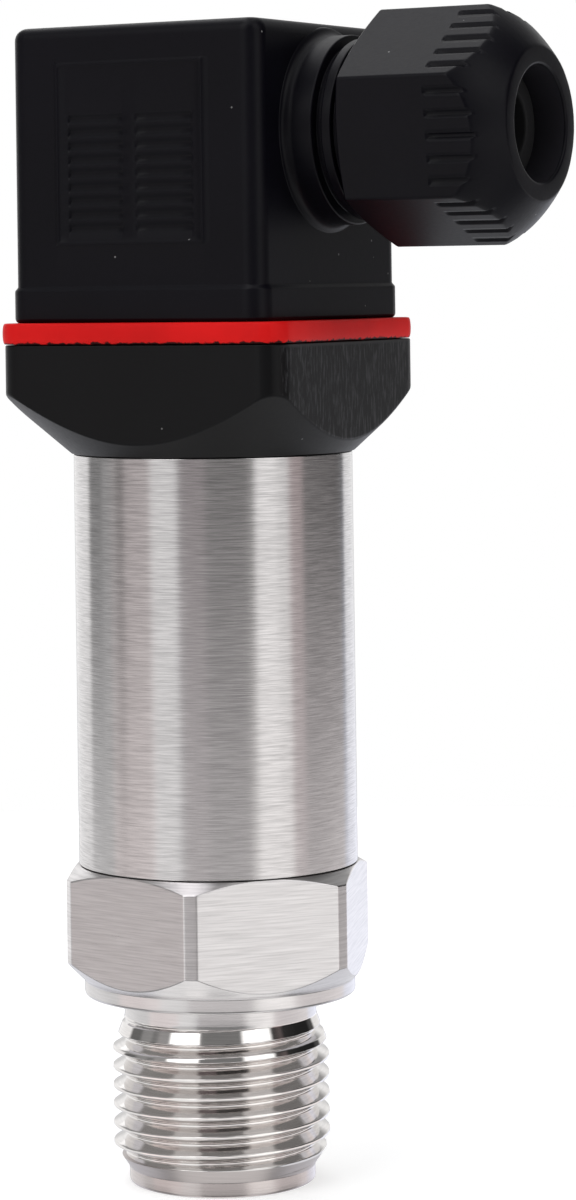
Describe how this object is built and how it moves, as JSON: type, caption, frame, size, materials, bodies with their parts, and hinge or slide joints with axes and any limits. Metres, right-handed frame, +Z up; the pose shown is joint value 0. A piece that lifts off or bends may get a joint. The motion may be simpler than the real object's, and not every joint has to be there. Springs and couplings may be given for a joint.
{
  "type": "pressure transducer",
  "caption": "Pressure transducer: threaded steel fitting with hexagon, tube housing, and a square black plug connector with a red gasket and a side cable gland.",
  "frame": {"origin": "on the sensor axis, at the end plane of the thread's nose", "axes": "+Z up along the sensor axis from the nose to the plug, +X along the cable gland, out of its mouth"},
  "size_m": [0.0512, 0.0312, 0.1122],
  "materials": {
    "stainless_steel": "turned and brushed round the axis, thread polished",
    "capsule_steel": "fine turned",
    "zinc_screw": "zinc plated",
    "tinned_contact": "tin plated",
    "brass_insert": "plain turned",
    "black_plastic": "fine satin moulding",
    "black_adapter": "satin, with upright machining marks on one side",
    "grey_plastic": "plain moulded",
    "board_laminate": "green solder mask",
    "red_rubber": "soft satin",
    "black_rubber": "dull"
  },
  "bodies": {
    "root": {"process_fitting": "stainless_steel", "housing_tube": "stainless_steel", "retaining_ring": "stainless_steel", "sensor_capsule": "capsule_steel", "capsule_o_ring": "black_rubber", "fitting_o_ring": "black_rubber", "adapter_o_ring": "black_rubber", "screw_seal": "black_rubber", "gland_seal": "black_rubber", "board_holder": "grey_plastic", "circuit_board": "board_laminate", "amplifier_chip": "black_plastic", "zero_trimmer": "grey_plastic", "span_trimmer": "grey_plastic", "square_adapter": "black_adapter", "profile_gasket": "red_rubber", "contact_base": "black_plastic", "contact_blade_1": "tinned_contact", "contact_blade_2": "tinned_contact", "contact_blade_3": "tinned_contact", "earth_blade": "tinned_contact", "threaded_insert": "brass_insert", "plug_housing": "black_plastic", "terminal_block": "grey_plastic", "contact_clip_1": "tinned_contact", "contact_clip_2": "tinned_contact", "contact_clip_3": "tinned_contact", "contact_clip_4": "tinned_contact", "terminal_screw_1": "zinc_screw", "terminal_screw_2": "zinc_screw", "terminal_screw_3": "zinc_screw", "terminal_screw_4": "zinc_screw", "fixing_screw": "zinc_screw", "gland_nut": "black_plastic", "gland_washer": "grey_plastic"}
  },
  "joints": []
}
